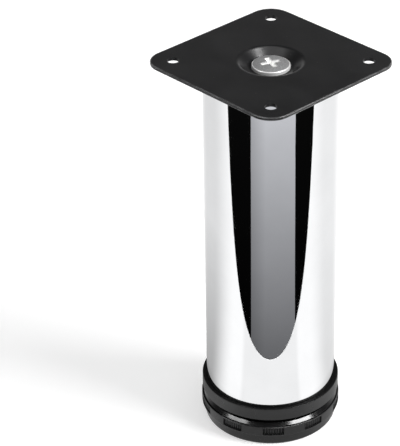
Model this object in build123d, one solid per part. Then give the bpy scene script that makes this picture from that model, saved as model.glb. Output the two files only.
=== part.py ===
from build123d import *

import math
import os

# A round chromed furniture leg: a square steel plate that is screwed to the furniture, a tube, and a
# plastic foot that screws in and out to level the piece. The origin is on the floor, on the leg's axis.
# +Z is up, and the plate's sides run along X and Y. All sizes are in millimetres and degrees.

# Leg
closed_height = 180.5  # floor to the top of the plate, with the foot screwed right in
foot_run_out = 3.5  # how far the foot is screwed out here
closed_gap = 0.25  # left between the foot and the plug when the foot is screwed right in
seat_clearance = 0.05  # between a piece and the bore or pocket that holds it
cut_over = 1.0  # how far a cutting piece runs past what it cuts

# Mounting plate
plate_side = 80.0
plate_t = 1.5
plate_corner_r = 10.0
plate_edge_r = 0.3
hole_spacing = 60.0
hole_d = 5.5
dish_floor_gap = 1.5  # between the screw's head and the bend of the dish
dish_slope_w = 4.6
dish_bend_r = 2.6
dish_join = 3.0  # flat ring outside the dish

# Plate screw, a low-headed cross-recess machine screw
screw_d = 8.0
screw_length = 20.0
screw_tip = 1.0
screw_hole_clearance = 0.5
head_d = 17.0
head_rim_h = 1.5
head_crown_h = 1.1
head_edge_r = 0.5
head_below_plate = 0.6  # the crown stays this far under the plate's top
recess_span = 10.0
recess_arm_w = 2.5
recess_depth = 2.4
recess_floor_span = 4.2
recess_floor_w = 1.0
recess_turn = -21.0

# Tube
tube_d = 60.0
tube_wall = 1.2
tube_edge = 0.25

# Cap pressed into the tube's top, with a nut welded under it
cap_t = 2.0
cap_depth = 11.0
cap_bend_r = 2.5
cap_under_dish = 0.3
weld_nut_flats = 14.0
weld_nut_h = 6.5
nut_corner_cut = 1.4  # how far in a nut's faces are turned off at its corners
nut_corner_angle = 30.0

# Plug in the tube's bottom: a collar that the tube stands on, and a ribbed spigot inside the tube
collar_proud = 2.0  # how far the collar stands out from the tube
collar_h = 6.4
collar_top_r = 0.5
collar_bottom_r = 0.5
collar_rim_w = 0.6  # rim under the collar, outside the recess that takes the foot
spigot_length = 22.0
spigot_wall = 2.4
spigot_slack = 0.6  # taken up by the crush ribs
spigot_tip_h = 1.2
spigot_tip_w = 0.6
crush_rib_count = 12
crush_rib_w = 1.2
hub_wall = 2.2  # plastic outside the corners of the nut
hub_floor_t = 3.0  # plastic under the nut
hub_web_count = 6
hub_web_t = 1.8
spindle_passage_gap = 0.3

# Level adjuster: a steel spindle held in a plastic foot, running in a nut held in the plug
spindle_d = 10.0
spindle_tip = 1.0
spindle_top_margin = 1.5  # thread that stands above the nut when the foot is right out
foot_travel_out = 16.0  # further run-out from the position shown
running_clearance = 0.08
spindle_nut_flats = 17.0
spindle_nut_h = 8.0
spindle_head_d = 19.0
spindle_head_t = 4.0
spindle_head_edge = 0.4
spindle_head_floor = 2.4  # plastic under the spindle's head

# Foot
foot_base_inset = 1.2  # of the base from the collar
foot_base_h = 5.6
foot_base_edge_r = 1.0
foot_wall = 2.4  # at the base
foot_roof_t = 2.4
foot_boss_wall = 2.9
foot_boss_rise = 1.0
foot_rib_count = 10
foot_rib_t = 1.6
grip_proud = 0.4  # how far the grip's pads stand out from the collar
grip_h = 5.0
grip_edge_r = 0.3
grip_count = 10
grip_window_share = 0.5  # of the pitch from one window to the next
grip_window_depth = 0.9
grip_window_lip = 0.6  # of the grip above and below its windows
grip_phase = -42.3
grip_rib_count = 8
grip_rib_h = 0.55
grip_rib_share = 0.62  # of the pitch from one rib to the next
shoulder_rise = 1.5
shoulder_w = 1.5
shoulder_bend_r = 1.0

# Radii that follow from the sizes above
tube_r = tube_d / 2
tube_bore_r = tube_r - tube_wall
cap_r = tube_bore_r - seat_clearance
head_r = head_d / 2
screw_hole_r = screw_d / 2 + screw_hole_clearance
dish_floor_r = head_r + dish_floor_gap
dish_rim_r = dish_floor_r + dish_slope_w
collar_r = tube_r + collar_proud
shoulder_r = collar_r - collar_rim_w
foot_top_r = shoulder_r - shoulder_w
spigot_r = tube_bore_r - spigot_slack
spigot_inner_r = spigot_r - spigot_wall
hub_r = spindle_nut_flats / math.sqrt(3) + hub_wall
spindle_r = spindle_d / 2
spindle_head_r = spindle_head_d / 2
grip_r = collar_r + grip_proud
foot_base_r = collar_r - foot_base_inset
foot_inner_r = foot_base_r - foot_wall
foot_boss_r = spindle_head_r + running_clearance + foot_boss_wall

# Heights that follow from the sizes above
grip_top = foot_base_h + grip_h
shoulder_top = grip_top + shoulder_rise
boss_top = shoulder_top + foot_boss_rise
lift = foot_run_out + closed_gap  # from a face of the foot to the face of the plug that it closes on
collar_bottom = grip_top + lift
collar_top = collar_bottom + collar_h
recess_ceiling = boss_top + lift
spindle_nut_bottom = recess_ceiling + hub_floor_t
spindle_nut_top = spindle_nut_bottom + spindle_nut_h
spindle_top = spindle_nut_top + foot_travel_out + spindle_top_margin
spigot_top = collar_top + spigot_length
plate_top = closed_height + foot_run_out
plate_bottom = plate_top - plate_t
crown_top = plate_top - head_below_plate
head_seat = crown_top - head_crown_h - head_rim_h
cap_top = head_seat - plate_t - cap_under_dish
cap_floor = cap_top - cap_t


def turned(points, bends=None):
    """A solid of revolution from a closed outline of (radius, height) points, some of them rounded."""
    outline = make_face(Polyline(*points, close=True))
    for (x, z), radius in (bends or {}).items():
        corner = outline.vertices().sort_by_distance(Vector(x, z))[0]
        outline = fillet(corner, radius)
    return revolve(Plane.XZ * outline, Axis.Z)


def rod(radius, bottom, top):
    """A plain upright cylinder between two heights."""
    return Pos(0, 0, bottom) * Cylinder(radius, top - bottom, align=(Align.CENTER, Align.CENTER, Align.MIN))


def bar(inner, outer, width, bottom, top):
    """An upright flat bar that runs outward along X from the inner to the outer radius."""
    size = (outer - inner, width, top - bottom)
    return Pos(inner, 0, bottom) * Box(*size, align=(Align.MIN, Align.CENTER, Align.MIN))


def around(piece, count, start=0.0):
    """Copies of a piece, evenly spaced about Z."""
    return [Rot(0, 0, start + 360 / count * i) * piece for i in range(count)]


def polar(radius, angle):
    """The point at a radius and an angle about Z."""
    return (radius * math.cos(math.radians(angle)), radius * math.sin(math.radians(angle)))


def dish_line(drop):
    """One face of the pressed dish in section, from the screw hole to the flat plate, moved down by drop."""
    line = FilletPolyline(
        (screw_hole_r, head_seat - drop),
        (dish_floor_r, head_seat - drop),
        (dish_rim_r, plate_top - drop),
        (dish_rim_r + dish_join, plate_top - drop),
        radius=dish_bend_r,
    )
    return Plane.XZ * line


def mounting_plate():
    square = RectangleRounded(plate_side, plate_side, plate_corner_r)
    blank = Pos(0, 0, plate_bottom) * extrude(square, plate_t)
    faces = blank.faces().sort_by(Axis.Z)
    blank = fillet(faces[0].edges() + faces[-1].edges(), plate_edge_r)
    top = dish_line(0)
    bottom = dish_line(plate_t)
    ends = [Line(bottom @ 0, top @ 0), Line(top @ 1, bottom @ 1)]
    dish = revolve(make_face(Wire(top.edges() + bottom.edges() + ends)), Axis.Z)
    low, high = plate_bottom - cut_over, plate_top + cut_over
    places = GridLocations(hole_spacing, hole_spacing, 2, 2)
    holes = [place * rod(hole_d / 2, low, high) for place in places]
    return blank - rod(dish_rim_r + dish_join, low, high) + dish - holes


def cross(height):
    """The plus-shaped section of the screw's recess at a height."""
    depth = (crown_top - height) / recess_depth
    span = recess_span + (recess_floor_span - recess_span) * depth
    width = recess_arm_w + (recess_floor_w - recess_arm_w) * depth
    plus = Rectangle(span, width) + Rectangle(width, span)
    return Pos(0, 0, height) * plus.face()


def plate_screw():
    rim_top = head_seat + head_rim_h
    crown_r = (head_r**2 + head_crown_h**2) / (2 * head_crown_h)
    crown = ThreePointArc((-head_r, rim_top), (0, crown_top), (head_r, rim_top))
    seat = Polyline((-head_r, rim_top), (-head_r, head_seat), (head_r, head_seat), (head_r, rim_top))
    section = make_face(crown.edges() + seat.edges())
    section = fillet(section.vertices().group_by(Axis.Y)[-1], head_edge_r)
    half = Pos(crown_r, 0) * Rectangle(2 * crown_r, 4 * crown_top)
    head = revolve(Plane.XZ * (section & half), Axis.Z)
    shank = rod(screw_d / 2, head_seat - screw_length, head_seat)
    shank = chamfer(shank.edges().sort_by(Axis.Z)[0], screw_tip)
    recess = loft([cross(crown_top + cut_over), cross(crown_top - recess_depth)])
    return head + shank - Rot(0, 0, recess_turn) * recess


def leg_tube():
    bore = rod(tube_bore_r, collar_top - cut_over, plate_bottom + cut_over)
    pipe = rod(tube_r, collar_top, plate_bottom) - bore
    return chamfer(pipe.edges().filter_by(GeomType.CIRCLE), tube_edge)


def tube_cap():
    skirt_r = cap_r - cap_t
    bottom = cap_top - cap_depth
    outer_bend = (cap_r, cap_top)
    inner_bend = (skirt_r, cap_floor)
    outline = [
        (screw_hole_r, cap_top),
        outer_bend,
        (cap_r, bottom),
        (skirt_r, bottom),
        inner_bend,
        (screw_hole_r, cap_floor),
    ]
    return turned(outline, {outer_bend: cap_bend_r, inner_bend: cap_bend_r - cap_t})


def hexagon_nut(flats, height, bore_r, bottom):
    """A hexagon nut with the corners of both faces turned off."""
    corner_r = flats / math.sqrt(3)
    face_r = corner_r - nut_corner_cut
    cut = nut_corner_cut * math.tan(math.radians(nut_corner_angle))
    blank = turned([
        (bore_r, 0),
        (face_r, 0),
        (corner_r, cut),
        (corner_r, height - cut),
        (face_r, height),
        (bore_r, height),
    ])
    hexagon = extrude(RegularPolygon(flats / 2, 6, major_radius=False), height)
    return Pos(0, 0, bottom) * (hexagon & blank)


def weld_nut():
    return hexagon_nut(weld_nut_flats, weld_nut_h, screw_d / 2 + seat_clearance, cap_floor - weld_nut_h)


def spindle_nut():
    return hexagon_nut(spindle_nut_flats, spindle_nut_h, spindle_r + running_clearance, spindle_nut_bottom)


def tube_plug():
    collar_foot = (collar_r, collar_bottom)
    collar_head = (collar_r, collar_top)
    outline = [
        (shoulder_r, collar_bottom),
        collar_foot,
        collar_head,
        (spigot_r, collar_top),
        (spigot_r, spigot_top - spigot_tip_h),
        (spigot_r - spigot_tip_w, spigot_top),
        (spigot_inner_r, spigot_top),
        (spigot_inner_r, recess_ceiling),
        (foot_top_r, shoulder_top + lift),
    ]
    shell = turned(outline, {collar_foot: collar_bottom_r, collar_head: collar_top_r})
    reach = spigot_inner_r + spigot_wall / 2
    floor = rod(reach, recess_ceiling, spindle_nut_bottom)
    hub = rod(hub_r, recess_ceiling, spindle_nut_top)
    web = bar(0, reach, hub_web_t, recess_ceiling, spindle_nut_top)
    rib_top = spigot_top - spigot_tip_h
    rib = bar(reach, tube_bore_r, crush_rib_w, collar_top, rib_top) & rod(cap_r, collar_top, rib_top)
    plug = shell + floor + hub + around(web, hub_web_count) + around(rib, crush_rib_count)
    hexagon = RegularPolygon(spindle_nut_flats / 2 + seat_clearance, 6, major_radius=False)
    pocket = Pos(0, 0, spindle_nut_bottom) * extrude(hexagon, spindle_nut_h + cut_over)
    passage = rod(spindle_r + spindle_passage_gap, recess_ceiling - cut_over, spindle_nut_top)
    return plug - pocket - passage


def foot_spindle():
    head = rod(spindle_head_r, spindle_head_floor, spindle_head_floor + spindle_head_t)
    head = chamfer(head.edges().filter_by(GeomType.CIRCLE), spindle_head_edge)
    shaft = rod(spindle_r, spindle_head_floor, spindle_top)
    shaft = chamfer(shaft.edges().sort_by(Axis.Z)[-1], spindle_tip)
    return head + shaft


def grip_outline():
    """The grip from above: plain pads, and between them lower windows with a row of pointed ribs each."""
    floor_r = grip_r - grip_window_depth
    pitch = 360 / grip_count
    window = pitch * grip_window_share
    rib_pitch = window / grip_rib_count
    rib_half = rib_pitch * grip_rib_share / 2
    edges = []
    for start in (grip_phase - window / 2 + pitch * i for i in range(grip_count)):
        ridges = []
        for middle in (start + rib_pitch * (k + 0.5) for k in range(grip_rib_count)):
            ridges.append(polar(floor_r, middle - rib_half))
            ridges.append(polar(floor_r + grip_rib_h, middle))
            ridges.append(polar(floor_r, middle + rib_half))
        end = start + window
        side = [polar(grip_r, start), polar(floor_r, start)]
        far_side = [polar(floor_r, end), polar(grip_r, end)]
        edges += Polyline(*side, *ridges, *far_side).edges()
        pad = (polar(grip_r, angle) for angle in (end, (end + start + pitch) / 2, start + pitch))
        edges.append(ThreePointArc(*pad))
    return make_face(Wire(edges))


def foot():
    base_edge = (foot_base_r, 0)
    shoulder_bend = (foot_top_r, shoulder_top)
    outline = [
        (0, 0),
        base_edge,
        (foot_base_r, foot_base_h),
        (shoulder_r, foot_base_h),
        (shoulder_r, grip_top),
        shoulder_bend,
        (foot_boss_r, shoulder_top),
        (foot_boss_r - foot_boss_rise, boss_top),
        (0, boss_top),
    ]
    core = turned(outline, {base_edge: foot_base_edge_r, shoulder_bend: shoulder_bend_r})
    window_low = foot_base_h + grip_window_lip
    window_high = grip_top - grip_window_lip
    grip = rod(grip_r, foot_base_h, grip_top)
    grip = fillet(grip.edges().filter_by(GeomType.CIRCLE), grip_edge_r)
    grip -= rod(grip_r + cut_over, window_low, window_high)
    grip += Pos(0, 0, window_low) * extrude(grip_outline(), window_high - window_low)
    roof = shoulder_top - foot_roof_t
    hollow = rod(foot_inner_r, -cut_over, roof) - rod(foot_boss_r, -cut_over, roof)
    rib = bar(foot_boss_r - foot_boss_wall / 2, foot_inner_r + foot_wall / 2, foot_rib_t, 0, roof)
    head_low = spindle_head_floor - running_clearance
    head_high = spindle_head_floor + spindle_head_t + running_clearance
    pocket = rod(spindle_head_r + running_clearance, head_low, head_high)
    bore = rod(spindle_r + running_clearance, spindle_head_floor, boss_top + cut_over)
    return core + grip - hollow + around(rib, foot_rib_count, grip_phase) - pocket - bore


pieces = {
    "mounting_plate": mounting_plate,
    "plate_screw": plate_screw,
    "leg_tube": leg_tube,
    "tube_cap": tube_cap,
    "weld_nut": weld_nut,
    "tube_plug": tube_plug,
    "spindle_nut": spindle_nut,
    "foot_spindle": foot_spindle,
    "foot": foot,
}

os.makedirs("parts", exist_ok=True)
for name, make in pieces.items():
    export_step(make(), f"parts/{name}.step")
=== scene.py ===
import math

import bmesh
import bpy
from bpy.props import FloatProperty, FloatVectorProperty, IntProperty, PointerProperty
from bpy.types import Operator, Panel, PropertyGroup
from mathutils import Matrix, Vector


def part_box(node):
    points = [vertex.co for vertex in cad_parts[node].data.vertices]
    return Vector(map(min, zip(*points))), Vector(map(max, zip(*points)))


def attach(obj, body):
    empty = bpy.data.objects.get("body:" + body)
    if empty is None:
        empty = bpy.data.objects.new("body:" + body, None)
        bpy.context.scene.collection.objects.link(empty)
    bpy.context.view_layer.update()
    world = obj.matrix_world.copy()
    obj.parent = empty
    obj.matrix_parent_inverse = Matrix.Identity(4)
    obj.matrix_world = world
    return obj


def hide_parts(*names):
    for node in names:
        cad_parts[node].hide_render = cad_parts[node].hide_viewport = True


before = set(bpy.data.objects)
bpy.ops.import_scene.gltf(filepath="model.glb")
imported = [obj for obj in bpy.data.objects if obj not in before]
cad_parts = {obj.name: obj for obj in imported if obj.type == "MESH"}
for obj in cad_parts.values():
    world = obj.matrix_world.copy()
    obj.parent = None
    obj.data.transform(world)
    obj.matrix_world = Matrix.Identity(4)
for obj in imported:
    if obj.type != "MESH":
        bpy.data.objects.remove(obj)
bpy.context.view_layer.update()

bl_info = {
    "name": "Furniture Leg",
    "version": (1, 0, 0),
    "blender": (4, 5, 0),
    "location": "View3D > Sidebar > Leg",
    "description": "Finishes a chromed furniture leg with a levelling foot and sets up its studio",
    "category": "Object",
}

MM = 0.001


def box_radius(node):
    """Half the width of a CAD piece, from its box."""
    low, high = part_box(node)
    return (high[0] - low[0]) / 2


# Settings that a user would change

def color(name, description, default):
    """A colour setting."""
    return FloatVectorProperty(
        name=name,
        description=description,
        default=default,
        size=4,
        min=0.0,
        max=1.0,
        subtype="COLOR",
    )


def length(name, description, default):
    """A setting in units of length."""
    return FloatProperty(
        name=name, description=description, default=default, unit="LENGTH", precision=5
    )


def factor(name, description, default):
    """A setting from 0 to 1."""
    return FloatProperty(
        name=name, description=description, default=default, min=0.0, max=1.0, subtype="FACTOR"
    )


def power(name, description, default):
    """The power of a lamp."""
    return FloatProperty(name=name, description=description, default=default, unit="POWER")


class LegTubeSettings(PropertyGroup):
    radius: length("Radius", "Outer radius of the tube", box_radius("leg_tube"))
    wall: length("Wall", "Thickness of the tube's wall", 1.2 * MM)
    edge: length("Edge", "Width of the broken edges at both ends", 0.25 * MM)
    segments: IntProperty(
        name="Segments", description="Flats round the tube", default=256, min=32
    )
    chrome: color("Chrome", "Colour of the chrome plating", (0.90, 0.905, 0.915, 1.0))
    haze: factor("Haze", "Roughness where the chrome has been touched", 0.055)


class LegPlateSettings(PropertyGroup):
    coating: color("Coating", "Colour of the black coating", (0.0155, 0.0155, 0.0163, 1.0))
    # The rubbed edge colour is partly wear and partly a painted highlight, a light line along the
    # plate's outer edges.
    rubbed: color("Rubbed edge", "Colour of the coating's rubbed edges", (0.55, 0.55, 0.555, 1.0))
    rubbed_band: length("Rubbed band", "Width of the outer band with rubbed edges", 4.0 * MM)
    dust: color("Dust", "Colour of the specks of dust", (0.35, 0.34, 0.32, 1.0))
    roughness: factor("Roughness", "Mean roughness of the coating", 0.31)


class LegScrewSettings(PropertyGroup):
    zinc: color("Zinc", "Colour of the dull zinc plating", (0.49, 0.49, 0.495, 1.0))
    # The recess, the rim and the edges of the head get a painted glint: a near-white colour
    # standing in for the light that they catch.
    bright: color("Bright", "Colour of the recess and the edges", (0.97, 0.97, 0.96, 1.0))
    roughness: factor("Roughness", "Roughness of the dull plating", 0.46)
    bright_roughness: factor("Bright roughness", "Roughness of the bright metal", 0.36)
    metallic: factor("Metallic", "How metallic the dull plating is", 0.6)
    bright_metallic: factor("Bright metallic", "How metallic the bright metal is", 0.3)
    recess_reach: length("Recess", "How far from the axis the recess reaches", 5.5 * MM)
    recess_depth: length("Recess depth", "How far down the recess goes", 6.0 * MM)
    recess_lip: length("Recess lip", "How far down the bright metal starts", 0.42 * MM)
    rim: length("Rim", "Width of the bright rim of the head", 0.5 * MM)


class LegSteelSettings(PropertyGroup):
    plated: color("Plated steel", "Colour of the nuts and the spindle", (0.55, 0.555, 0.56, 1.0))
    pressed: color("Pressed steel", "Colour of the cap in the tube", (0.40, 0.395, 0.385, 1.0))
    nuts: factor("Nuts", "Roughness of the nuts", 0.3)
    cap: factor("Cap", "Roughness of the cap", 0.42)
    spindle: factor("Spindle", "Roughness of the spindle", 0.25)


class LegFootSettings(PropertyGroup):
    plastic: color("Plastic", "Colour of the moulded plastic", (0.0055, 0.0055, 0.0058, 1.0))
    # The rubbed edge colour is partly wear and partly a painted highlight along the edges of the
    # collar and the grip.
    rubbed: color("Rubbed edge", "Colour of the plastic's rubbed edges", (0.10, 0.10, 0.102, 1.0))
    # The ledge colour is painted shade: near black where the tube stands on the plug.
    ledge: color("Ledge", "Colour of the ledge that the tube stands on", (0.001, 0.001, 0.001, 1.0))
    dust: color("Dust", "Colour of the specks of dust", (0.30, 0.29, 0.28, 1.0))
    roughness: factor("Roughness", "Mean roughness of the moulded plastic", 0.28)
    shoulder_roughness: factor("Shoulder", "Roughness of the foot's polished shoulder", 0.16)
    shoulder_from: length("Shoulder height", "Where the polished shoulder starts", 10.6 * MM)


class LegThreadSettings(PropertyGroup):
    pitch: length("Pitch", "Distance from one thread to the next", 1.5 * MM)
    depth: length("Depth", "Depth of the thread", 0.92 * MM)
    shaft: length("Shaft", "Radius of the shaft over its thread", 5.0 * MM)
    head: length("Head", "Thickness of the spindle's head", 4.0 * MM)


class LegStudioSettings(PropertyGroup):
    floor: color("Floor", "Colour of the floor", (0.86, 0.86, 0.86, 1.0))
    lift: factor("Lift", "Brightness that the camera sees added to the floor", 0.52)
    ambient: factor("Ambient", "Brightness of the surroundings as a light", 0.38)
    ceiling: factor("Ceiling", "Brightness of the dark ceiling where it is reflected", 0.04)
    sun: power("Sun", "Power of the lamp that casts the shadow", 33.0)
    right_box: power("Right box", "Power of the right softbox", 8.4)
    left_box: power("Left box", "Power of the left softbox", 4.3)
    top_box: power("Top box", "Power of the high softbox", 4.6)
    strip_box: power("Strip box", "Power of the long strip overhead", 4.3)
    card_edge: length("Card", "Distance from the leg to the black card's front edge", 97.0 * MM)


# Node trees

NODE_SPACING = 220
MIX_FACTOR, MIX_FIRST, MIX_SECOND, MIX_RESULT = 0, 6, 7, 2  # a Mix node's sockets for colours


def add(tree, kind, inputs=None, **attributes):
    """A node in a tree, with its attributes and the values of its inputs."""
    node = tree.nodes.new(kind)
    node.location = (NODE_SPACING * len(tree.nodes), 0)
    for name, value in attributes.items():
        setattr(node, name, value)
    for name, value in (inputs or {}).items():
        if isinstance(value, bpy.types.NodeSocket):
            tree.links.new(value, node.inputs[name])
        else:
            node.inputs[name].default_value = value
    return node


def maths(tree, operation, *values, clamp=False):
    """The result of a Math node."""
    inputs = dict(enumerate(values))
    return add(tree, "ShaderNodeMath", inputs, operation=operation, use_clamp=clamp).outputs[0]


def raised(tree, value, mask, amount):
    """A value with an amount added to it where a mask is 1."""
    return maths(tree, "ADD", value, maths(tree, "MULTIPLY", mask, amount))


def blend_color(tree, mask, first, second):
    """The result of mixing two colours by a mask."""
    inputs = {MIX_FACTOR: mask, MIX_FIRST: first, MIX_SECOND: second}
    return add(tree, "ShaderNodeMix", inputs, data_type="RGBA").outputs[MIX_RESULT]


def spread(tree, value, low, high, start=0.0, end=1.0):
    """The result of a Map Range node from start and end to low and high."""
    inputs = {"Value": value, "From Min": start, "From Max": end, "To Min": low, "To Max": high}
    return add(tree, "ShaderNodeMapRange", inputs).outputs["Result"]


def own_place(tree):
    """The place on a piece in its own coordinates, which are the leg's."""
    return add(tree, "ShaderNodeTexCoord").outputs["Object"]


def stretched_place(tree, stretch):
    """The place on a piece, stretched along its axes."""
    return add(tree, "ShaderNodeMapping", {"Vector": own_place(tree), "Scale": stretch}).outputs[0]


def parts_of(tree, vector):
    """The X, Y and Z of a vector."""
    return add(tree, "ShaderNodeSeparateXYZ", {"Vector": vector}).outputs


def noise(tree, place, scale, detail, **more):
    """The result of a Noise Texture node."""
    inputs = {"Vector": place, "Scale": scale, "Detail": detail, **more}
    return add(tree, "ShaderNodeTexNoise", inputs).outputs["Fac"]


# Shared effects

def node_group(name, inputs, outputs):
    """An empty shader node group with named sockets, its input node and its output node."""
    tree = bpy.data.node_groups.new(name, "ShaderNodeTree")
    for label, value in inputs.items():
        kind = "NodeSocketVector" if isinstance(value, tuple) else "NodeSocketFloat"
        socket = tree.interface.new_socket(label, in_out="INPUT", socket_type=kind)
        socket.default_value = value
    for label in outputs:
        tree.interface.new_socket(label, in_out="OUTPUT", socket_type="NodeSocketFloat")
    return tree, add(tree, "NodeGroupInput").outputs, add(tree, "NodeGroupOutput").inputs


def surface_grain():
    """A fine even grain: Height for bumps and Tone for colour and roughness."""
    inputs = {"Scale": 800.0, "Detail": 3.0, "Stretch": (1.0, 1.0, 1.0)}
    tree, given, made = node_group("Surface Grain", inputs, ("Height", "Tone"))
    place = stretched_place(tree, given["Stretch"])
    grain = noise(tree, place, given["Scale"], given["Detail"], Roughness=0.55)
    tree.links.new(grain, made["Height"])
    tree.links.new(spread(tree, grain, 0.0, 1.0, start=0.36, end=0.64), made["Tone"])
    return tree


def handling_marks():
    """Broad soft patches, as fingers and packing leave on a smooth finish, as a roughness."""
    inputs = {"Scale": 24.0, "Clean": 0.1, "Touched": 0.3}
    tree, given, made = node_group("Handling Marks", inputs, ("Roughness",))
    broad = noise(tree, own_place(tree), given["Scale"], 4.0, Distortion=0.6)
    patches = spread(tree, broad, 0.0, 1.0, start=0.42, end=0.68)
    tree.links.new(spread(tree, patches, given["Clean"], given["Touched"]), made["Roughness"])
    return tree


def edge_wear():
    """A mask of the outer edges, broken up so that it isn't even."""
    inputs = {"Width": 0.3 * MM, "Strength": 1.0}
    tree, given, made = node_group("Edge Wear", inputs, ("Mask",))
    rounded = add(tree, "ShaderNodeBevel", {"Radius": given["Width"]}, samples=6).outputs["Normal"]
    flat = add(tree, "ShaderNodeNewGeometry").outputs["Normal"]
    dot = add(tree, "ShaderNodeVectorMath", {0: rounded, 1: flat}, operation="DOT_PRODUCT")
    bend = spread(tree, dot.outputs["Value"], 1.0, 0.0, start=0.82, end=0.995)
    patches = noise(tree, own_place(tree), 160.0, 5.0)
    broken = maths(tree, "MULTIPLY", bend, spread(tree, patches, 0.35, 1.0, start=0.35, end=0.6))
    tree.links.new(maths(tree, "MULTIPLY", broken, given["Strength"], clamp=True), made["Mask"])
    return tree


def height_band():
    """A mask of what lies between two heights."""
    inputs = {"Low": 0.0, "High": 10.0 * MM, "Soft": 0.3 * MM}
    tree, given, made = node_group("Height Band", inputs, ("Mask",))
    height = parts_of(tree, own_place(tree))["Z"]
    above = maths(tree, "SUBTRACT", height, given["Low"])
    below = maths(tree, "SUBTRACT", given["High"], height)
    ends = [maths(tree, "DIVIDE", side, given["Soft"], clamp=True) for side in (above, below)]
    tree.links.new(maths(tree, "MULTIPLY", *ends), made["Mask"])
    return tree


def hairlines():
    """Thin scratches that run along one direction."""
    inputs = {"Stretch": (1.0, 1.0, 0.02), "Scale": 900.0}
    tree, given, made = node_group("Hairlines", inputs, ("Mask",))
    lines = noise(tree, stretched_place(tree, given["Stretch"]), given["Scale"], 2.0)
    tree.links.new(spread(tree, lines, 0.0, 1.0, start=0.60, end=0.74), made["Mask"])
    return tree


def dust_specks():
    """Sparse specks of dust on what faces up."""
    inputs = {"Scale": 420.0, "Amount": 0.3}
    tree, given, made = node_group("Dust Specks", inputs, ("Mask",))
    cell_inputs = {"Vector": own_place(tree), "Scale": given["Scale"], "Randomness": 1.0}
    cells = add(tree, "ShaderNodeTexVoronoi", cell_inputs).outputs
    speck = spread(tree, cells["Distance"], 1.0, 0.0, start=0.05, end=0.11)
    draw = add(tree, "ShaderNodeSeparateColor", {"Color": cells["Color"]}).outputs["Red"]
    chosen = maths(tree, "GREATER_THAN", draw, 0.86)
    normal = add(tree, "ShaderNodeNewGeometry").outputs["Normal"]
    upward = spread(tree, parts_of(tree, normal)["Z"], 0.0, 1.0, start=0.6, end=0.9)
    mask = maths(tree, "MULTIPLY", maths(tree, "MULTIPLY", speck, chosen), upward)
    tree.links.new(maths(tree, "MULTIPLY", mask, given["Amount"], clamp=True), made["Mask"])
    return tree


def effect(tree, builder, output, **inputs):
    """One output of a shared node group, which is built the first time that it is used."""
    name = builder.__name__.replace("_", " ").title()
    group = bpy.data.node_groups.get(name) or builder()
    node = add(tree, "ShaderNodeGroup", node_tree=group)
    for label, value in inputs.items():
        node.inputs[label].default_value = value
    return node.outputs[output]


# Materials

def new_material(name, **constants):
    """A material with a Principled shader that has these constant values, its tree and shader."""
    material = bpy.data.materials.new(name)
    material.use_nodes = True
    tree = material.node_tree
    tree.nodes.clear()
    values = {label.replace("_", " "): value for label, value in constants.items()}
    shader = add(tree, "ShaderNodeBsdfPrincipled", values)
    add(tree, "ShaderNodeOutputMaterial", {"Surface": shader.outputs[0]})
    return material, tree, shader


def feed(tree, shader, **sockets):
    """Links results to the shader's inputs."""
    for label, value in sockets.items():
        tree.links.new(value, shader.inputs[label.replace("_", " ")])


def bumps(tree, *layers):
    """The normal of bumps laid over each other, each with its height, strength and distance."""
    normal = None
    for height, strength, distance in layers:
        inputs = {"Height": height, "Strength": strength, "Distance": distance}
        node = add(tree, "ShaderNodeBump", inputs)
        if normal:
            tree.links.new(normal, node.inputs["Normal"])
        normal = node.outputs["Normal"]
    return normal


def scaled(base, share):
    """A colour with each channel multiplied by a share, up to 1."""
    return tuple(min(1.0, channel * share) for channel in base[:3]) + (1.0,)


def mottled(tree, base, share, scale, detail):
    """A colour that goes down to a share of itself in a fine uneven pattern."""
    tone = effect(tree, surface_grain, "Tone", Scale=scale, Detail=detail)
    return blend_color(tree, tone, tuple(base), scaled(base, share))


def chrome_plating(settings):
    """Mirror chrome with faint upright scratches, fingermarks and a very slight waviness."""
    material, tree, shader = new_material("chrome_plating", Metallic=1.0)
    scratch = effect(tree, hairlines, "Mask", Scale=1500.0, Stretch=(1.0, 1.0, 0.015))
    waves = effect(tree, surface_grain, "Height", Scale=45.0)
    marks = effect(
        tree, handling_marks, "Roughness", Scale=30.0, Clean=0.018, Touched=settings.haze
    )
    feed(
        tree,
        shader,
        Base_Color=mottled(tree, settings.chrome, 0.97, scale=60.0, detail=4.0),
        Roughness=raised(tree, marks, scratch, 0.02),
        Normal=bumps(tree, (scratch, 0.06, 0.01 * MM), (waves, 0.05, 0.1 * MM)),
    )
    return material


def black_coating(settings):
    """Satin black coating with a fine texture and dust, with wear and a painted highlight at the
    plate's outer edges.
    """
    material, tree, shader = new_material("black_coating", Specular_IOR_Level=0.30)
    parts = parts_of(tree, own_place(tree))
    sides = [maths(tree, "ABSOLUTE", parts[axis]) for axis in "XY"]
    rubbed_and_highlit_from = box_radius("mounting_plate") - settings.rubbed_band
    outer = maths(tree, "GREATER_THAN", maths(tree, "MAXIMUM", *sides), rubbed_and_highlit_from)
    edges = effect(tree, edge_wear, "Mask", Width=1.0 * MM, Strength=1.0)
    edge_mask = maths(tree, "MULTIPLY", outer, edges)
    dust = effect(tree, dust_specks, "Mask", Scale=520.0, Amount=0.35)
    coat = mottled(tree, settings.coating, 0.8, scale=90.0, detail=6.0)
    # Painted highlight: the outer edges are made light as if they caught the light, besides their
    # wear.
    rubbed = blend_color(tree, edge_mask, coat, tuple(settings.rubbed))
    mean = settings.roughness
    marks = effect(
        tree, handling_marks, "Roughness", Scale=40.0, Clean=mean - 0.03, Touched=mean + 0.05
    )
    coarse = effect(tree, surface_grain, "Height", Scale=1400.0, Detail=2.0)
    fine = effect(tree, surface_grain, "Height", Scale=5200.0, Detail=3.0)
    feed(
        tree,
        shader,
        Base_Color=blend_color(tree, dust, rubbed, tuple(settings.dust)),
        Roughness=raised(tree, marks, edge_mask, -0.1),
        Normal=bumps(tree, (coarse, 0.35, 0.04 * MM), (fine, 0.30, 0.01 * MM)),
    )
    return material


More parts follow.
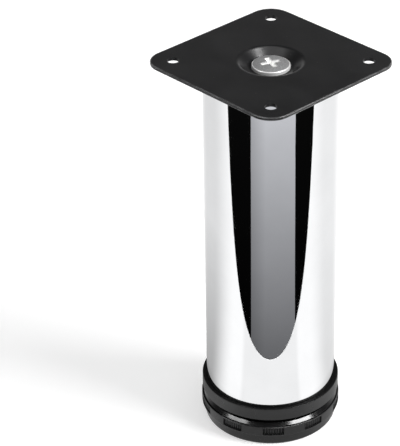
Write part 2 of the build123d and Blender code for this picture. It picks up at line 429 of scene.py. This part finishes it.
def dull_zinc(settings):
    """Dull plating with a fine spangle, and a painted glint of near-white metal in the recess, on
    the rim and at the edges.
    """
    material, tree, shader = new_material("dull_zinc")
    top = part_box("plate_screw")[1][2]
    depths = {
        "Low": top - settings.recess_depth,
        "High": top - settings.recess_lip,
        "Soft": 0.08 * MM,
    }
    deep = effect(tree, height_band, "Mask", **depths)
    flattened = {0: own_place(tree), 1: (1.0, 1.0, 0.0)}
    flat = add(tree, "ShaderNodeVectorMath", flattened, operation="MULTIPLY").outputs[0]
    reach = add(tree, "ShaderNodeVectorMath", {0: flat}, operation="LENGTH").outputs["Value"]
    inside = maths(tree, "LESS_THAN", reach, settings.recess_reach)
    recess = maths(tree, "MULTIPLY", deep, inside)
    rim = maths(tree, "GREATER_THAN", reach, box_radius("plate_screw") - settings.rim)
    edge_mask = effect(tree, edge_wear, "Mask", Width=0.5 * MM, Strength=1.0)
    # Painted glint: near-white colour in the recess, on the rim and at the edges.
    bright = maths(tree, "MAXIMUM", recess, maths(tree, "MAXIMUM", rim, edge_mask))
    plating = mottled(tree, settings.zinc, 0.66, scale=1900.0, detail=5.0)
    spangle = effect(tree, surface_grain, "Height", Scale=2600.0, Detail=4.0)
    feed(
        tree,
        shader,
        Base_Color=blend_color(tree, bright, plating, tuple(settings.bright)),
        Metallic=spread(tree, bright, settings.metallic, settings.bright_metallic),
        Roughness=spread(tree, bright, settings.roughness, settings.bright_roughness),
        Normal=bumps(tree, (spangle, 0.5, 0.03 * MM)),
    )
    return material


def bare_steel(name, steel, roughness):
    """Plated or bare steel inside the leg, with the marks of turning and pressing."""
    material, tree, shader = new_material(name, Metallic=1.0)
    scratch = effect(tree, hairlines, "Mask", Scale=1100.0, Stretch=(0.05, 0.05, 1.0))
    edge_mask = effect(tree, edge_wear, "Mask", Width=0.3 * MM, Strength=0.7)
    plating = mottled(tree, steel, 0.7, scale=700.0, detail=5.0)
    marks = effect(
        tree, handling_marks, "Roughness", Scale=90.0, Clean=roughness, Touched=roughness + 0.15
    )
    feed(
        tree,
        shader,
        Base_Color=blend_color(tree, edge_mask, plating, scaled(steel, 1.35)),
        Roughness=raised(tree, marks, scratch, 0.06),
        Normal=bumps(tree, (scratch, 0.15, 0.02 * MM)),
    )
    return material


def moulded_plastic(name, settings, polished=None, ledge=None):
    """Black moulded plastic with a fine spark-eroded grain.

    It can be polished between two heights, and made rougher and near black between two others, as
    painted shade where the tube shades the ledge under it.
    """
    material, tree, shader = new_material(
        name, IOR=1.53, Coat_Roughness=settings.shoulder_roughness, Coat_IOR=1.6
    )
    plastic = mottled(tree, settings.plastic, 0.72, scale=120.0, detail=5.0)
    edge_mask = effect(tree, edge_wear, "Mask", Width=0.4 * MM, Strength=0.5)
    dust = effect(tree, dust_specks, "Mask", Scale=700.0, Amount=0.25)
    mean = settings.roughness
    marks = effect(
        tree, handling_marks, "Roughness", Scale=55.0, Clean=mean - 0.03, Touched=mean + 0.06
    )
    grain = effect(tree, surface_grain, "Height", Scale=3800.0, Detail=3.0)
    if polished:
        low, high = polished
        polish = effect(tree, height_band, "Mask", Low=low, High=high, Soft=0.15 * MM)
        shine = spread(tree, polish, 1.0, settings.shoulder_roughness / mean)
        marks = maths(tree, "MULTIPLY", marks, shine)
        grain = maths(tree, "MULTIPLY", grain, spread(tree, polish, 1.0, 0.1))
        feed(tree, shader, Coat_Weight=polish)
    if ledge:
        low, high = ledge
        # Painted shade on the ledge under the tube: a near-black colour, and a metallic share that
        # takes away its shine.
        ledge_shade = effect(tree, height_band, "Mask", Low=low, High=high, Soft=0.05 * MM)
        unshaded = maths(tree, "SUBTRACT", 1.0, ledge_shade)
        marks = raised(tree, marks, ledge_shade, 0.3)
        edge_mask = maths(tree, "MULTIPLY", edge_mask, unshaded)
        dust = maths(tree, "MULTIPLY", dust, unshaded)
        plastic = blend_color(tree, ledge_shade, plastic, tuple(settings.ledge))
        feed(tree, shader, Metallic=maths(tree, "MULTIPLY", ledge_shade, 0.8))
    # Edges get a lighter colour: partly wear and partly a painted highlight.
    rubbed = blend_color(tree, edge_mask, plastic, tuple(settings.rubbed))
    feed(
        tree,
        shader,
        Base_Color=blend_color(tree, dust, rubbed, tuple(settings.dust)),
        Roughness=marks,
        Normal=bumps(tree, (grain, 0.2, 0.01 * MM)),
    )
    return material


# Meshes

def ring(mesh, radii, heights):
    """A ring of vertices about Z. The radii and heights have one value for each vertex."""
    turn = 2 * math.pi / len(radii)
    vertices = []
    for i, (radius, height) in enumerate(zip(radii, heights)):
        place = (radius * math.cos(i * turn), radius * math.sin(i * turn), height)
        vertices.append(mesh.verts.new(place))
    return vertices


def skin(mesh, lower, upper):
    """Joins two rings with a band of quads."""
    count = len(lower)
    for i in range(count):
        k = (i + 1) % count
        mesh.faces.new((lower[i], lower[k], upper[k], upper[i]))


def finished_object(name, mesh, material, sharp_degrees):
    """A smooth-shaded object with sharp edges over an angle, from a bmesh."""
    bmesh.ops.recalc_face_normals(mesh, faces=mesh.faces)
    data = bpy.data.meshes.new(name)
    mesh.to_mesh(data)
    mesh.free()
    data.shade_smooth()
    data.set_sharp_from_angle(angle=math.radians(sharp_degrees))
    data.materials.append(material)
    piece = bpy.data.objects.new(name, data)
    bpy.context.scene.collection.objects.link(piece)
    return piece


def tube_mesh(settings, low, high):
    """The tube as a closed ring section turned about Z, finer than the CAD tube."""
    outer, inner, edge = settings.radius, settings.radius - settings.wall, settings.edge
    section = [
        (inner + edge, low),
        (outer - edge, low),
        (outer, low + edge),
        (outer, high - edge),
        (outer - edge, high),
        (inner + edge, high),
        (inner, high - edge),
        (inner, low + edge),
    ]
    mesh = bmesh.new()
    count = settings.segments
    rings = [ring(mesh, [radius] * count, [height] * count) for radius, height in section]
    for lower, upper in zip(rings, rings[1:] + rings[:1]):
        skin(mesh, lower, upper)
    return mesh


def thread_height(share):
    """Height of the thread, from 0 to 1, at a share of the pitch: crest, two flanks and root."""
    crest, flank = 1 / 8, 5 / 16
    away = abs((share + 0.5) % 1.0 - 0.5)
    return min(1.0, max(0.0, (crest / 2 + flank - away) / flank))


def spindle_mesh(settings, low, high, head_radius):
    """The spindle with its thread cut as one helix, over a plain round head."""
    flats, steps = 64, 12  # vertices in a ring and rings in a turn of the thread
    edge, neck, point = 0.4 * MM, 2.0 * MM, 1.0 * MM
    shaft = settings.shaft
    head_top = low + settings.head
    thread_from = head_top + neck
    outline = [
        (head_radius - edge, low),
        (head_radius, low + edge),
        (head_radius, head_top - edge),
        (head_radius - edge, head_top),
        (shaft, head_top),
        (shaft, thread_from),
    ]
    mesh = bmesh.new()
    rings = [ring(mesh, [radius] * flats, [height] * flats) for radius, height in outline]
    step = settings.pitch / steps
    for k in range(1, int((high - thread_from) / step) + 1):
        height = thread_from + k * step
        tip = shaft - max(0.0, height - (high - point))
        run_in = min(1.0, k / steps)
        radii = []
        for i in range(flats):
            crest = thread_height(height / settings.pitch - i / flats)
            radii.append(min(shaft - settings.depth * (1.0 - crest) * run_in, tip))
        rings.append(ring(mesh, radii, [height] * flats))
    for lower, upper in zip(rings, rings[1:]):
        skin(mesh, lower, upper)
    mesh.faces.new(reversed(rings[0]))
    mesh.faces.new(rings[-1])
    return mesh


def finish_node(node, material):
    """Gives a CAD piece its material."""
    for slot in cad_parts[node].material_slots:
        slot.material = material


# One operator for each piece or group of like pieces, and one for the studio

class LEG_OT_tube(Operator):
    """Turns the chromed tube in place of the CAD tube"""

    bl_idname = "leg.tube"
    bl_label = "Chromed Tube"

    def execute(self, context):
        settings = context.scene.leg_tube
        low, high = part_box("leg_tube")
        mesh = tube_mesh(settings, low[2], high[2])
        tube = finished_object("chromed_tube", mesh, chrome_plating(settings), 30)
        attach(tube, "leg")
        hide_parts("leg_tube")
        return {"FINISHED"}


class LEG_OT_plate(Operator):
    """Coats the mounting plate"""

    bl_idname = "leg.plate"
    bl_label = "Mounting Plate"

    def execute(self, context):
        finish_node("mounting_plate", black_coating(context.scene.leg_plate))
        return {"FINISHED"}


class LEG_OT_screw(Operator):
    """Plates the screw that holds the plate"""

    bl_idname = "leg.screw"
    bl_label = "Plate Screw"

    def execute(self, context):
        finish_node("plate_screw", dull_zinc(context.scene.leg_screw))
        return {"FINISHED"}


class LEG_OT_inner_steel(Operator):
    """Finishes the cap and the nuts inside the leg"""

    bl_idname = "leg.inner_steel"
    bl_label = "Cap and Nuts"

    def execute(self, context):
        settings = context.scene.leg_steel
        nuts = bare_steel("nut_plating", settings.plated, settings.nuts)
        finish_node("weld_nut", nuts)
        finish_node("spindle_nut", nuts)
        finish_node("tube_cap", bare_steel("pressed_steel", settings.pressed, settings.cap))
        return {"FINISHED"}


LEDGE_MARGIN = 0.15 * MM  # how far under the tube's end the painted shade on the plug's ledge starts
OVER_ALL = 1.0  # a height over the whole leg
SHOULDER_MARGIN = 1.0 * MM  # keeps the soft end of the polish over the foot's top


class LEG_OT_mouldings(Operator):
    """Finishes the plug and the foot in moulded plastic"""

    bl_idname = "leg.mouldings"
    bl_label = "Plug and Foot"

    def execute(self, context):
        settings = context.scene.leg_foot
        collar_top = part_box("leg_tube")[0][2]
        ledge = (collar_top - LEDGE_MARGIN, OVER_ALL)
        finish_node("tube_plug", moulded_plastic("plug_plastic", settings, ledge=ledge))
        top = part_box("foot")[1][2]
        polished = (settings.shoulder_from, top + SHOULDER_MARGIN)
        finish_node("foot", moulded_plastic("foot_plastic", settings, polished=polished))
        return {"FINISHED"}


class LEG_OT_spindle(Operator):
    """Cuts the thread of the spindle in place of the CAD spindle"""

    bl_idname = "leg.spindle"
    bl_label = "Threaded Spindle"

    def execute(self, context):
        finish = context.scene.leg_steel
        low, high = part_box("foot_spindle")
        radius = box_radius("foot_spindle")
        mesh = spindle_mesh(context.scene.leg_thread, low[2], high[2], radius)
        steel = bare_steel("spindle_plating", finish.plated, finish.spindle)
        spindle = finished_object("threaded_spindle", mesh, steel, 40)
        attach(spindle, "spindle")
        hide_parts("foot_spindle")
        return {"FINISHED"}


# Studio

WHITE = (1.0, 1.0, 1.0, 1.0)
COOL_WHITE = (0.965, 0.975, 1.02, 1.0)
CAMERA_AZIMUTH = 45.0

# The camera at the photograph's viewpoint. The axis is off the picture's middle, in pixels.
CAMERA_REACH = 811.5 * MM
CAMERA_HEIGHT = 594.0 * MM
CAMERA_TILT = 30.68
CAMERA_ROLL = 0.12
LENS = 169.07
SENSOR = 36.0
PHOTO_LONG_SIDE = 446.0
AXIS_RIGHT_OF_MIDDLE = 70.66
AXIS_ABOVE_MIDDLE = 20.65

# The floor and the cards. The heights keep them apart, and the half widths and reaches are lengths.
FLOOR_HEIGHT = -0.2 * MM
FLOOR_REACH = 4.0
NEAR_CARD_HEIGHT = 0.2 * MM
FRONT_CARD_HEIGHT = 0.5 * MM
FRONT_CARD_HALF = 1.6
GREY_CARD_HEIGHT = 0.8 * MM
CARD_REACH = 900.0 * MM

# The directions round the tube at which it mirrors the corners of the grey card, in degrees
GREY_NEAR_CORNERS = (-17.2, 22.0)
GREY_FAR_CORNERS = (20.6, -16.7)

# The floor as reflections show it, painted on a glowing card: white, with three darker fields of
# painted shade. Each has its direction in degrees clockwise from the camera, the half widths over
# which it is full and over which it has faded out, and how much it takes away near the foot and far
# from it.
FLOOR_FIELDS = (
    (-120.0, 12.0, 62.0, 0.60, 0.28),  # the leg's shadow, away from the shadow lamp
    (113.0, 10.0, 50.0, 0.27, 0.15),  # the side that the softboxes leave dimmer
    (0.0, 38.0, 46.0, 0.12, 0.12),  # the front, before the black card
)
FIELD_ENDS = (60.0 * MM, 200.0 * MM)
# Painted shade on the reflected floor round the foot: its brightness is this share within the first
# reach and full beyond the second.
FOOT_DARKNESS = 0.75
FOOT_ENDS = (50.0 * MM, 60.0 * MM)
FLOOR_GLOW = 1.1

# The grey card is dimmer at its left side and lighter further away.
GREY_LEFT = 0.66
GREY_SIDE_ENDS = (-36.0, -8.0)
GREY_GLOW = (0.13, 0.76)
GREY_GLOW_ENDS = (90.0 * MM, 420.0 * MM)
BLACK_GLOW = 0.008

# The lamps. The softboxes have their power in the setting of the same name.
LAMP_AIM = 60.0 * MM
SUN_SIZE = (0.92, 0.92)
SUN_PLACE = {"azimuth": 69.0, "elevation": 38.0, "distance": 2.0}
SOFTBOX_DISTANCE = 1.2
SOFTBOXES = (
    # name, size, azimuth, elevation, roll
    ("right_box", (0.60, 0.30), 63.5, 48.0, -26.0),
    ("left_box", (0.57, 0.30), -68.0, 48.0, 26.0),
    ("top_box", (0.20, 0.20), 100.0, 68.0, 0.0),
    ("strip_box", (0.30, 1.60), 90.0, 87.0, 0.0),
)


def polar_place(tree):
    """The direction round the leg, in degrees clockwise from the camera, and the reach."""
    place = own_place(tree)
    parts = parts_of(tree, place)
    turn = maths(tree, "ARCTAN2", parts["X"], maths(tree, "MULTIPLY", parts["Y"], -1.0))
    reach = add(tree, "ShaderNodeVectorMath", {0: place}, operation="LENGTH").outputs["Value"]
    return spread(tree, turn, -180.0, 180.0, start=-math.pi, end=math.pi), reach


def field(tree, degrees, middle, full, faded):
    """1 within a half width of a direction, fading softly to 0 at a wider one."""
    away = maths(tree, "ABSOLUTE", maths(tree, "SUBTRACT", degrees, middle))
    inputs = {"Value": away, "From Min": full, "From Max": faded, "To Min": 1.0, "To Max": 0.0}
    node = add(tree, "ShaderNodeMapRange", inputs, interpolation_type="SMOOTHSTEP")
    return node.outputs["Result"]


def glow_material(name, tint, strength):
    """A material that only gives off light. Its brightness comes from a function of its tree."""
    material = bpy.data.materials.new(name)
    material.use_nodes = True
    tree = material.node_tree
    tree.nodes.clear()
    emission = add(tree, "ShaderNodeEmission", {"Color": tint, "Strength": strength(tree)})
    add(tree, "ShaderNodeOutputMaterial", {"Surface": emission.outputs[0]})
    return material


def near_floor_glow(tree):
    """A painted reflection of the white floor for the chrome and the plastic, with painted shade in
    its darker fields and round the foot.
    """
    degrees, reach = polar_place(tree)
    shade = spread(tree, reach, FOOT_DARKNESS, 1.0, *FOOT_ENDS)
    for middle, full, faded, near, far in FLOOR_FIELDS:
        depth = spread(tree, reach, near, far, *FIELD_ENDS)
        taken = maths(tree, "MULTIPLY", field(tree, degrees, middle, full, faded), depth)
        shade = maths(tree, "MULTIPLY", shade, maths(tree, "SUBTRACT", 1.0, taken))
    return maths(tree, "MULTIPLY", shade, FLOOR_GLOW)


def grey_glow(tree):
    """The grey card, which is lighter further away."""
    degrees, reach = polar_place(tree)
    side = spread(tree, degrees, GREY_LEFT, 1.0, *GREY_SIDE_ENDS)
    return maths(tree, "MULTIPLY", side, spread(tree, reach, *GREY_GLOW, *GREY_GLOW_ENDS))


def black_glow(tree):
    """The black card, which is a trace lighter further away."""
    return maths(tree, "MULTIPLY", polar_place(tree)[1], BLACK_GLOW)


def rectangle(half_width, near, far):
    """An outline from one distance to another along the view."""
    return [(-half_width, near), (half_width, near), (half_width, far), (-half_width, far)]


def stage_object(name, outline, height, material):
    """A flat stage piece from an outline of points to the camera's right and away from it."""
    data = bpy.data.meshes.new(name)
    data.from_pydata([(x, y, height) for x, y in outline], [], [list(range(len(outline)))])
    data.materials.append(material)
    piece = bpy.data.objects.new(name, data)
    piece.rotation_euler.z = math.radians(CAMERA_AZIMUTH)
    bpy.context.scene.collection.objects.link(piece)
    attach(piece, "spindle")  # stays under the foot when the foot moves along
    return piece


def reflected_card(name, outline, height, tint, strength):
    """A glowing card that only reflections show: a painted reflection."""
    card = stage_object(name, outline, height, glow_material(name, tint, strength))
    card.visible_camera = False
    card.visible_diffuse = False
    card.visible_shadow = False
    card.visible_transmission = False


def seen_from_tube(radius, degrees, reach):
    """The floor point at a distance towards the camera that the tube mirrors at an angle."""
    a = math.radians(degrees)
    start = (radius * math.sin(a), radius * math.cos(a))
    return (start[0] + (reach - start[1]) * math.tan(2 * a), -reach)


def seen_rays(tree):
    """1 for rays of the camera, of reflections and of glass, 0 for the rays that light things."""
    path = add(tree, "ShaderNodeLightPath").outputs
    seen = maths(tree, "MAXIMUM", path["Is Camera Ray"], path["Is Glossy Ray"])
    return maths(tree, "MAXIMUM", seen, path["Is Transmission Ray"])


def floor_material(settings):
    """A plain pale floor that is lifted where it is seen and still takes the shadow."""
    material, tree, shader = new_material(
        "studio_floor",
        Base_Color=tuple(settings.floor),
        Roughness=0.9,
        Specular_IOR_Level=0.0,
        Emission_Color=WHITE,
    )
    lift = maths(tree, "MULTIPLY", seen_rays(tree), settings.lift)
    feed(tree, shader, Emission_Strength=lift)
    return material


def studio_world(settings):
    """Plain surroundings as a light, white behind the floor and dark overhead in reflections."""
    world = bpy.data.worlds.new("studio_world")
    world.use_nodes = True
    tree = world.node_tree
    tree.nodes.clear()
    path = add(tree, "ShaderNodeLightPath").outputs
    up = parts_of(tree, add(tree, "ShaderNodeTexCoord").outputs["Generated"])["Z"]
    ceiling = spread(tree, up, 1.0, settings.ceiling, start=0.08, end=0.40)
    lit = spread(tree, path["Is Glossy Ray"], settings.ambient, ceiling)
    plain = maths(tree, "MAXIMUM", path["Is Camera Ray"], path["Is Transmission Ray"])
    strength = spread(tree, plain, lit, 1.0)
    background = add(tree, "ShaderNodeBackground", {"Color": WHITE, "Strength": strength})
    add(tree, "ShaderNodeOutputWorld", {"Surface": background.outputs[0]})
    bpy.context.scene.world = world


def aimed(piece, azimuth, reach, height, tilt, roll):
    """Puts a lamp or a camera at an azimuth to the photograph's right, tilted down at the leg."""
    a = math.radians(CAMERA_AZIMUTH + azimuth)
    place = Matrix.Translation((reach * math.sin(a), -reach * math.cos(a), height))
    tilt = Matrix.Rotation(math.radians(90.0 - tilt), 4, "X")
    roll = Matrix.Rotation(math.radians(roll), 4, "Z")
    piece.matrix_world = place @ Matrix.Rotation(a, 4, "Z") @ tilt @ roll
    bpy.context.scene.collection.objects.link(piece)


def softbox(name, watts, size, azimuth, elevation, distance, roll=0.0):
    """A rectangular lamp that looks at the leg."""
    data = bpy.data.lights.new(name, "AREA")
    data.shape = "RECTANGLE"
    data.size, data.size_y = size
    data.energy = watts
    lamp = bpy.data.objects.new(name, data)
    e = math.radians(elevation)
    height = LAMP_AIM + distance * math.sin(e)
    aimed(lamp, azimuth, distance * math.cos(e), height, elevation, roll)
    return lamp


def camera():
    """The photograph's viewpoint: corner on, from above, with the leg right of the middle."""
    data = bpy.data.cameras.new("camera")
    data.sensor_width = SENSOR
    data.lens = LENS
    data.shift_x = -AXIS_RIGHT_OF_MIDDLE / PHOTO_LONG_SIDE
    data.shift_y = -AXIS_ABOVE_MIDDLE / PHOTO_LONG_SIDE
    data.clip_end = 20.0
    piece = bpy.data.objects.new("camera", data)
    aimed(piece, 0.0, CAMERA_REACH, CAMERA_HEIGHT, CAMERA_TILT, CAMERA_ROLL)
    bpy.context.scene.camera = piece


class LEG_OT_studio(Operator):
    """Sets up the floor, the reflected cards, the lamps, the surroundings and the camera"""

    bl_idname = "leg.studio"
    bl_label = "Studio"

    def execute(self, context):
        settings = context.scene.leg_studio
        edge = settings.card_edge
        floor = rectangle(FLOOR_REACH, -FLOOR_REACH, FLOOR_REACH)
        stage_object("floor", floor, FLOOR_HEIGHT, floor_material(settings))
        near = rectangle(CARD_REACH, -edge, CARD_REACH)
        reflected_card("near_floor", near, NEAR_CARD_HEIGHT, WHITE, near_floor_glow)
        front = rectangle(FRONT_CARD_HALF, -edge, -CARD_REACH)
        reflected_card("front_card", front, FRONT_CARD_HEIGHT, WHITE, black_glow)
        radius = context.scene.leg_tube.radius
        wedge = [seen_from_tube(radius, degrees, edge) for degrees in GREY_NEAR_CORNERS]
        wedge += [seen_from_tube(radius, degrees, CARD_REACH) for degrees in GREY_FAR_CORNERS]
        reflected_card("grey_card", wedge, GREY_CARD_HEIGHT, COOL_WHITE, grey_glow)
        sun = softbox("shadow_lamp", settings.sun, SUN_SIZE, **SUN_PLACE)
        sun.visible_glossy = False
        for name, size, azimuth, elevation, roll in SOFTBOXES:
            watts = getattr(settings, name)
            box = softbox(name, watts, size, azimuth, elevation, SOFTBOX_DISTANCE, roll)
            box.visible_diffuse = False
        studio_world(settings)
        camera()
        context.scene.view_settings.view_transform = "Standard"
        return {"FINISHED"}


STEPS = ("tube", "plate", "screw", "inner_steel", "mouldings", "spindle", "studio")


class VIEW3D_PT_leg(Panel):
    """The operators of the leg in the order in which they run"""

    bl_idname = "VIEW3D_PT_leg"
    bl_label = "Furniture Leg"
    bl_space_type = "VIEW_3D"
    bl_region_type = "UI"
    bl_category = "Leg"

    def draw(self, context):
        for step in STEPS:
            self.layout.operator("leg." + step)


SETTINGS = {
    "leg_tube": LegTubeSettings,
    "leg_plate": LegPlateSettings,
    "leg_screw": LegScrewSettings,
    "leg_steel": LegSteelSettings,
    "leg_foot": LegFootSettings,
    "leg_thread": LegThreadSettings,
    "leg_studio": LegStudioSettings,
}
OPERATORS = (
    LEG_OT_tube,
    LEG_OT_plate,
    LEG_OT_screw,
    LEG_OT_inner_steel,
    LEG_OT_mouldings,
    LEG_OT_spindle,
    LEG_OT_studio,
)


def register():
    for name, group in SETTINGS.items():
        bpy.utils.register_class(group)
        setattr(bpy.types.Scene, name, PointerProperty(type=group))
    for operator in OPERATORS:
        bpy.utils.register_class(operator)
    bpy.utils.register_class(VIEW3D_PT_leg)


def unregister():
    bpy.utils.unregister_class(VIEW3D_PT_leg)
    for operator in reversed(OPERATORS):
        bpy.utils.unregister_class(operator)
    for name, group in reversed(SETTINGS.items()):
        delattr(bpy.types.Scene, name)
        bpy.utils.unregister_class(group)


def main():
    register()
    for step in STEPS:
        getattr(bpy.ops.leg, step)()


if __name__ == "__main__":
    main()
